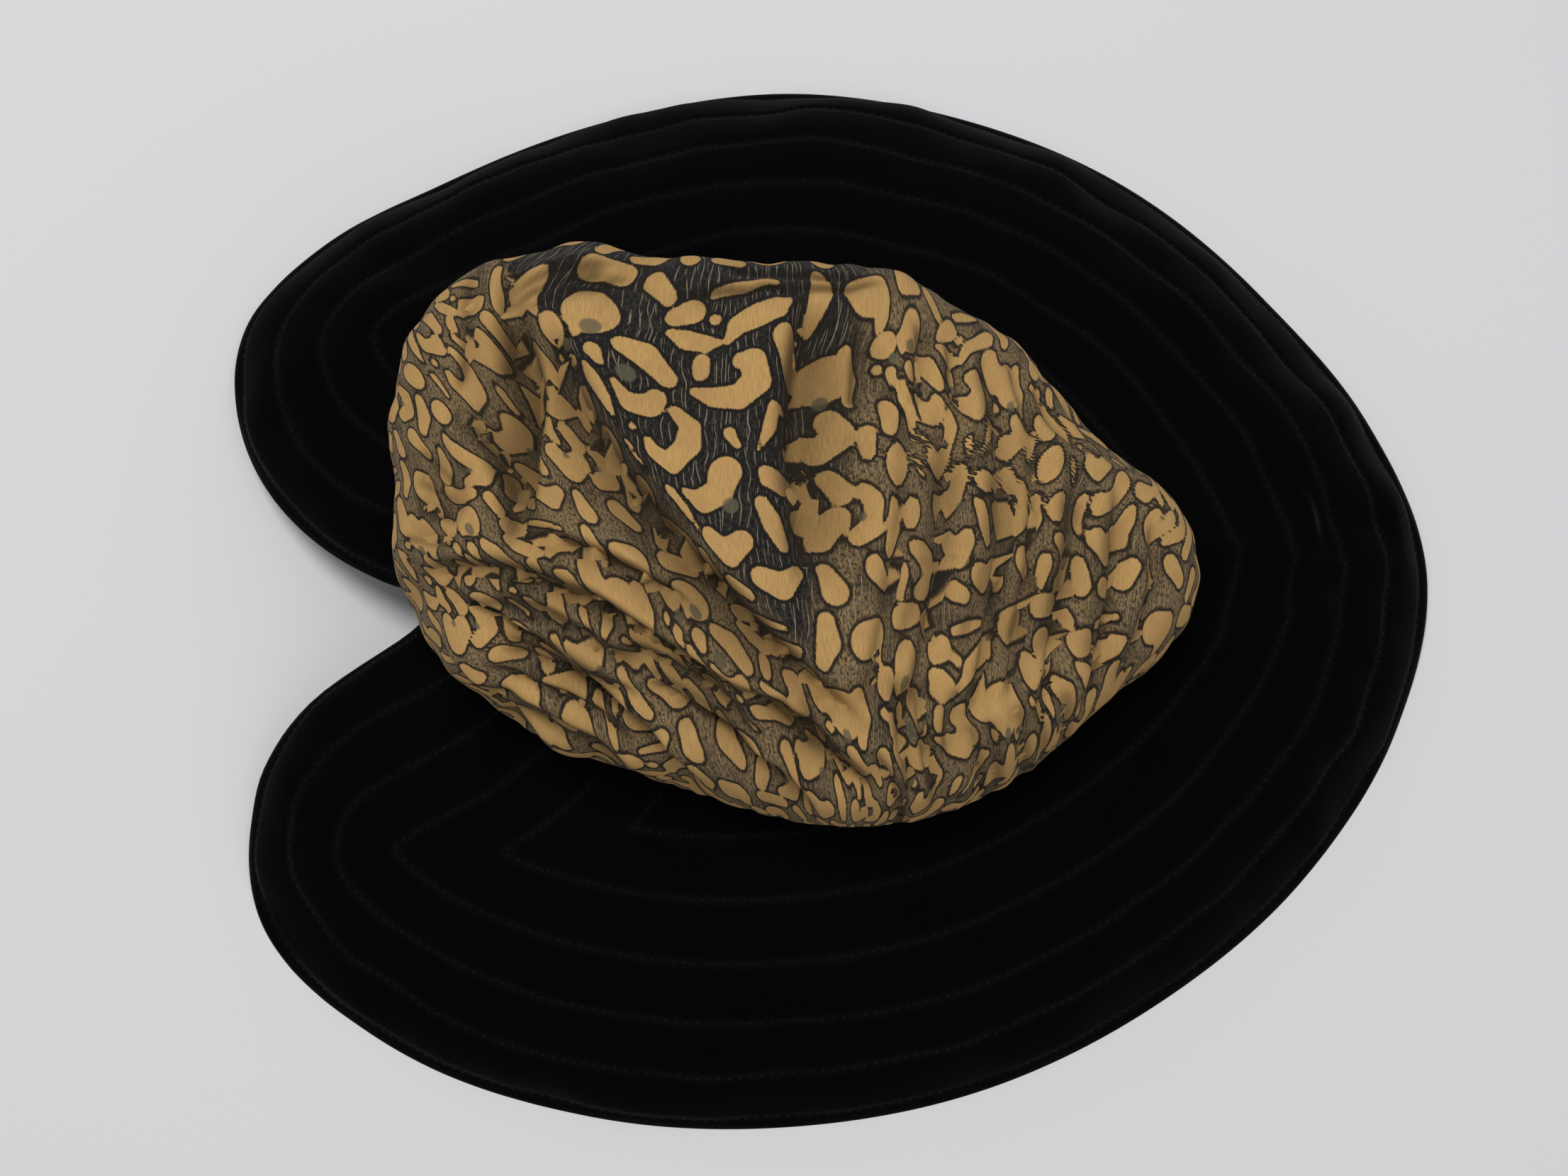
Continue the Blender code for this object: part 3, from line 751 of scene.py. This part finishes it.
# ---------------------------------------------------------------- the cloth's figures
# One repeat of the cloth, charted in millimetres: across is towards the hat's front, along towards its
# left. Each figure is a stroke through one to five rounds, each (across, along, radius).
REPEAT = (104.0, 105.0)
FLOWER_PLACE = (0.042, 0.0703)    # where the chart's zero lies on the hat, in the plan
PANEL_SIDES = [((62, 92), (-2, 52), (-71, -14)), ((-75, 6), (-10, -2), (80, -16))]
FIGURES = {
    "flower_heart": [(0, 0, 2.9), (1.0, -3.0, 1.6)],
    "flower_round": [(-12.5, 8.6, 4.8)],
    "flower_disc": [(0, 13.2, 7.2)],
    "flower_foot": [(-4.2, 8.0, 1.6), (-4.0, 6.2, 1.3)],
    "flower_petal_1": [(8.0, 4.0, 2.6), (14.0, 1.6, 4.0), (19.4, -4.4, 3.0)],
    "flower_petal_2": [(4.2, -8.6, 1.2), (8.2, -14.8, 3.2), (14.4, -14.4, 4.0), (16.2, -11.4, 3.0)],
    "flower_spear": [(-4.8, -5.0, 1.5), (-3.8, -9.4, 3.2), (-0.6, -15.8, 2.8), (2.0, -23.6, 0.5)],
    "flower_leaf": [(-9.6, -1.4, 2.2), (-9.2, -5.4, 0.7)],
    "twin": [(-25.6, 21.4, 5.4), (-19.4, 22.4, 5.2), (-17.2, 14.0, 1.4)],
    "cap": [(-5.0, 27.2, 3.6), (5.0, 27.6, 3.4)],
    "bud_1": [(14.4, 26.0, 2.8), (19.4, 21.6, 2.4)],
    "pair_1": [(21.8, 15.6, 3.0), (27.4, 17.0, 3.5)],
    "ring": [(33.8, 13.8, 1.8)],
    "pair_2": [(20.6, 10.0, 1.5), (25.0, 8.0, 3.2), (31.0, 5.6, 3.0), (34.6, 5.4, 1.4)],
    "wing": [(37.4, 5.2, 1.3), (40.6, 10.8, 3.2), (47.0, 13.4, 3.3), (52.6, 15.4, 2.8), (55.8, 17.4, 1.0)],
    "oval_1": [(55.4, 6.0, 4.8), (58.4, -0.6, 4.9)],
    "patch": [(29.6, -0.4, 2.6), (29.4, -3.0, 2.6)],
    "hook_1": [(26.8, -8.4, 1.2), (33.0, -11.2, 3.0), (40.4, -12.4, 3.8), (45.8, -8.0, 4.2),
               (44.8, -2.2, 3.8), (41.2, -1.8, 2.4)],
    "hook_2": [(21.6, -15.2, 1.9), (26.0, -20.8, 2.9), (25.6, -27.6, 3.5), (20.2, -33.0, 3.4),
               (14.8, -30.2, 2.9), (13.8, -27.2, 1.9)],
    "bone": [(51.0, -16.0, 2.1), (49.6, -21.6, 2.3), (46.4, -28.4, 0.6)],
    "bone_arm": [(51.0, -16.0, 1.8), (55.0, -15.4, 1.0)],
    "kidney": [(36.4, -35.0, 4.5), (34.8, -40.8, 4.0), (28.4, -44.4, 3.9), (24.0, -42.0, 1.8)],
    "heart_1": [(30.0, -56.4, 3.7), (35.4, -60.4, 4.5), (40.6, -56.0, 3.6)],
    "petal_1": [(47.0, -44.4, 2.2), (50.0, -50.0, 3.3), (53.4, -56.4, 2.2)],
    "petal_2": [(48.4, -36.6, 3.0), (53.4, -37.8, 3.4), (57.0, -36.6, 2.0)],
    "seed_1": [(17.6, -42.8, 2.0), (21.4, -49.4, 1.8), (24.4, -54.6, 0.7)],
    "oval_2": [(-13.6, -14.6, 4.5), (-13.4, -18.8, 4.0)],
    "disc_2": [(-8.6, -31.4, 6.2)],
    "seed_2": [(4.2, -30.0, 1.4), (8.2, -37.4, 0.7)],
    "shell": [(69.0, -2.0, 8.0)],
    "cup": [(70.6, -15.6, 3.4), (73.6, -20.8, 4.0), (68.0, -24.6, 4.2), (63.0, -21.6, 2.6)],
    "leaf_1": [(63.6, 14.4, 2.2), (65.8, 20.4, 3.6), (65.0, 27.0, 2.4)],
    "leaf_2": [(-27.8, 5.0, 2.6), (-25.6, -2.0, 3.6), (-27.0, -10.0, 2.2)],
    "bud_2": [(-23.0, -21.8, 3.0), (-22.2, -27.4, 2.2)],
    "heart_2": [(61.6, -46.6, 3.8), (66.6, -51.8, 4.8), (71.8, -46.8, 4.0)],
    "leaf_3": [(62.8, -30.6, 1.6), (61.6, -36.4, 2.4), (64.4, -40.6, 1.4)],
    "bean": [(69.8, -33.6, 3.0), (73.2, -39.0, 3.2)],
    "horseshoe": [(-24.6, -38.6, 2.2), (-20.4, -42.6, 3.4), (-20.6, -49.4, 3.8), (-26.0, -52.6, 2.8)],
    "tongue": [(-10.4, -43.6, 2.8), (-9.8, -50.0, 4.0), (-12.4, -57.2, 2.4)],
    "disc_3": [(1.6, -46.2, 5.0)],
    "hook_3": [(2.0, -56.6, 1.8), (7.8, -58.6, 3.2), (14.0, -62.6, 3.8), (12.0, -69.6, 3.8),
               (6.0, -71.0, 2.2)],
    "drop_1": [(-20.8, -62.4, 4.0), (-15.6, -66.8, 2.6)],
    "drop_2": [(-3.4, -64.6, 3.4), (-5.4, -70.8, 2.4)],
    "tooth_1": [(22.4, -64.6, 2.4), (23.6, -71.4, 3.4)],
    "tooth_2": [(46.0, -66.4, 3.4), (52.4, -68.6, 4.0), (57.6, -64.0, 2.2)],
    "tooth_3": [(33.6, -71.4, 3.0), (40.0, -73.2, 2.2)],
    "drop_3": [(66.4, -62.8, 2.2), (68.2, -69.4, 4.0)],
    "sliver": [(33.0, 21.6, 1.0), (42.0, 22.6, 1.5), (52.0, 23.6, 0.8)],
    "speck_1": [(60.4, -9.6, 1.7)],
    "speck_2": [(57.4, -26.6, 2.0)],
    "speck_3": [(37.6, -23.4, 1.8), (40.0, -27.4, 1.0)],
    "speck_4": [(-15.0, 0.4, 1.5)],
    "speck_5": [(8.6, -23.0, 1.5)],
}
DOTS = [(0.4, 8.6, 2.8), (-8.6, 3.6, 2.1), (8.2, -5.0, 2.8), (37.8, -45.0, 2.4), (69.0, -9.6, 2.2),
        (-24.4, -46.4, 1.6), (8.8, -65.4, 1.6), (66.6, -46.0, 1.6)]


def stroke_distance(across, along, rounds):
    """Signed distance to a stroke through rounds, in millimetres, below 0 inside; the cloth repeats."""
    middle = np.mean([r[:2] for r in rounds], axis=0)
    u = (across - middle[0] + REPEAT[0] / 2) % REPEAT[0] - REPEAT[0] / 2 + middle[0]
    v = (along - middle[1] + REPEAT[1] / 2) % REPEAT[1] - REPEAT[1] / 2 + middle[1]
    if len(rounds) == 1:
        return np.hypot(u - rounds[0][0], v - rounds[0][1]) - rounds[0][2]
    best = np.full(u.shape, np.inf)
    for (u0, v0, r0), (u1, v1, r1) in zip(rounds[:-1], rounds[1:]):
        square = (u1 - u0) ** 2 + (v1 - v0) ** 2
        part = np.clip(((u - u0) * (u1 - u0) + (v - v0) * (v1 - v0)) / square, 0, 1)
        best = np.minimum(best, np.hypot(u - u0 - part * (u1 - u0), v - v0 - part * (v1 - v0))
                          - blend(r0, r1, part))
    return best


def figure_distances(across, along):
    """Signed distances to the nearest tan figure and to the nearest grey dot on one."""
    figure = np.full(across.shape, np.inf)
    for rounds in FIGURES.values():
        figure = np.minimum(figure, stroke_distance(across, along, rounds))
    dot = np.full(across.shape, np.inf)
    for place in DOTS:
        dot = np.minimum(dot, stroke_distance(across, along, [place]))
    return figure, dot


def make_crown():
    """The crown's cloth, a square sheet laid over the form from its top, with an inner side and a rim."""
    side = np.linspace(-1, 1, CROWN_CELLS + 1)
    s, t = np.meshgrid(side, side)
    disc_x, disc_y = s * np.sqrt(1 - t * t / 2), t * np.sqrt(1 - s * s / 2)
    disc = np.minimum(1, np.hypot(disc_x, disc_y))
    out = disc * (0.72 + 0.28 * disc ** 6)        # finer on top than below
    turn = np.arctan2(disc_x, -disc_y)
    form = CrownForm(turn)
    cloth, drawn, crease, sunk = fold_cloth(form.points(out), out * TUCK_ANGLE, turn)
    cloth = soften(cloth, CLOTH_RELAXED)

    # the cloth's own measures: millimetres from the top, straight down every side
    way = form.edge - CROWN_TOP[:2]
    way /= np.linalg.norm(way, axis=-1, keepdims=True)
    laid = way * (form.lengths(out) / MM)[..., None]
    for start, end, extra in GATHERED_SIDES:
        step = np.subtract(end, start) / np.hypot(*np.subtract(end, start))
        left = np.array([-step[1], step[0]])
        beyond = (laid + CROWN_TOP[:2] / MM - start) @ left
        drawn += left * (extra * -soft_ramp(-beyond, EASE_ROUNDING))[..., None]
    laid = soften(laid + drawn, PRINT_RELAXED)
    flower = np.argmin(np.hypot(cloth[..., 0] - FLOWER_PLACE[0], cloth[..., 1] - FLOWER_PLACE[1]))
    laid -= laid.reshape(-1, 2)[flower]
    across, along = -laid[..., 1], laid[..., 0]
    eased = [soft_ramp(along - end, EASE_ROUNDING) for end in FAR_SPAN]
    along = along - FAR_EASE * (eased[0] - eased[1])
    # painted shade: cloth packed tight in a fold is darkened like the fold lines
    packed = smooth((packing(cloth, across, along) - PACKED) / 1.5)
    crease = soften(np.maximum(crease, packed), CREASE_RELAXED)

    inner = cloth - grid_normals(cloth) * CROWN_THICKNESS
    coarse = inner[::LINING_STEP, ::LINING_STEP]
    size, small = cloth.shape[0], coarse.shape[0]
    first = size * size
    points = np.concatenate([cloth.reshape(-1, 3), coarse.reshape(-1, 3)])
    faces = quads(size, size).tolist() + quads(small, small, first=first)[:, ::-1].tolist()
    faces += rim_faces(size, small, first)
    crown = mesh_piece("crown_gauze", points, faces, gauze_material())

    def both(values):
        return np.concatenate([values.ravel(), values[::LINING_STEP, ::LINING_STEP].ravel()])

    figure, dot = figure_distances(across, along)
    store(crown, "figure", both(figure))
    store(crown, "dot", both(dot))
    # painted shade: the dark lines of the folds
    store(crown, "crease", both(crease))
    # painted shade: darker down in the folds
    store(crown, "sunk", both(sunk))
    store(crown, "doubled", both(doubled_cloth(cloth[..., 0], cloth[..., 1])))
    loops = np.empty(len(crown.data.loops), dtype=np.int32)
    crown.data.loops.foreach_get("vertex_index", loops)
    uv = crown.data.uv_layers.new(name="cloth")
    uv.data.foreach_set("uv", np.stack([both(across), both(along)], 1)[loops].ravel())
    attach(crown, "root")
    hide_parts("crown")


def packing(cloth, across, along):
    """How many millimetres of cloth are packed in each millimetre of the surface."""
    most = np.zeros_like(across)
    for axis in (0, 1):
        laid = np.hypot(np.gradient(across, axis=axis), np.gradient(along, axis=axis))
        shown = np.maximum(np.linalg.norm(np.gradient(cloth, axis=axis), axis=2), 1e-7)
        most = np.maximum(most, laid * MM / shown)
    return most


def doubled_cloth(x, y):
    """1 where the net lies on more net and looks brown, 0 on the smooth panel where it looks charcoal."""
    panel = 1
    for line, width in zip(PANEL_SIDES, (8, 14)):
        signed, _, _ = beside(x, y, curve_through(line, 10) * MM)
        panel = panel * smooth(signed / MM / width + 0.4)
    return 1 - panel


def rim_faces(size, small, first):
    """Joins the outer cloth's border to the coarser inner one's, a fan of triangles for each inner step."""
    faces = []

    def border(count, start):
        top = [start + i for i in range(count)]
        right = [start + i * count + count - 1 for i in range(count)]
        low = [start + (count - 1) * count + i for i in range(count)][::-1]
        left = [start + i * count for i in range(count)][::-1]
        return top[:-1] + right[:-1] + low[:-1] + left[:-1]

    outer, inner = border(size, 0), border(small, first)
    for i, a in enumerate(inner):
        b = inner[(i + 1) % len(inner)]
        run = [outer[(i * LINING_STEP + k) % len(outer)] for k in range(LINING_STEP + 1)]
        for p, q in zip(run[:-1], run[1:]):
            faces.append((q, p, a))
        faces.append((run[-1], a, b))
    return faces


# ---------------------------------------------------------------- floor, light and camera
FLOOR_HALF = 40.0         # so wide that its edge never shows
CAMERA_DISTANCE = 0.74
CAMERA_ELEVATION = math.radians(76)
CAMERA_TARGET = Vector((-0.0023, 0.0137, 0.0))
ROOM_LIGHT = 0.36
LIGHTS = {
    "key": {"place": (0.35, 0.30, 1.7), "size": 0.7, "power": 17},
    "fill": {"place": (-0.8, -0.9, 1.3), "size": 1.4, "power": 4},
}


def make_floor():
    paper = Shader("paper", Roughness=0.9, Base_Color=(0.72, 0.72, 0.735, 1))
    paper.main.inputs["Specular IOR Level"].default_value = 0.1
    place = paper.add("ShaderNodeTexCoord").outputs["Object"]
    paper.bump(paper.noise(place, scale=300, detail=2), 0.1 * MM, 0.1)
    corners = [(x * FLOOR_HALF, y * FLOOR_HALF, 0) for x, y in ((-1, -1), (1, -1), (1, 1), (-1, 1))]
    mesh_piece("floor", corners, [(0, 1, 2, 3)], paper.material)


def area_light(name, place, size, power):
    light = bpy.data.lights.new(name, "AREA")
    light.shape = "DISK"
    light.size = size
    light.energy = power
    lamp = bpy.data.objects.new(name, light)
    lamp.location = place
    lamp.rotation_euler = (-Vector(place)).to_track_quat("-Z", "Y").to_euler()
    bpy.context.scene.collection.objects.link(lamp)


def make_light():
    world = bpy.data.worlds.new("soft_room")
    bpy.context.scene.world = world
    world.use_nodes = True
    sky = world.node_tree.nodes["Background"]
    sky.inputs["Color"].default_value = (0.97, 0.98, 1.0, 1)
    sky.inputs["Strength"].default_value = ROOM_LIGHT
    for name, light in LIGHTS.items():
        area_light(name, light["place"], light["size"], light["power"])


def make_camera():
    camera = bpy.data.objects.new("camera", bpy.data.cameras.new("camera"))
    camera.data.lens = 50
    camera.data.sensor_width = 36
    back = Vector((-math.cos(CAMERA_ELEVATION), 0, math.sin(CAMERA_ELEVATION)))
    camera.location = CAMERA_TARGET + back * CAMERA_DISTANCE
    camera.rotation_euler = (-back).to_track_quat("-Z", "Y").to_euler()
    bpy.context.scene.collection.objects.link(camera)
    bpy.context.scene.camera = camera


make_camera()
make_brim()
make_crown()
make_floor()
make_light()
bpy.context.scene.view_settings.view_transform = "Standard"
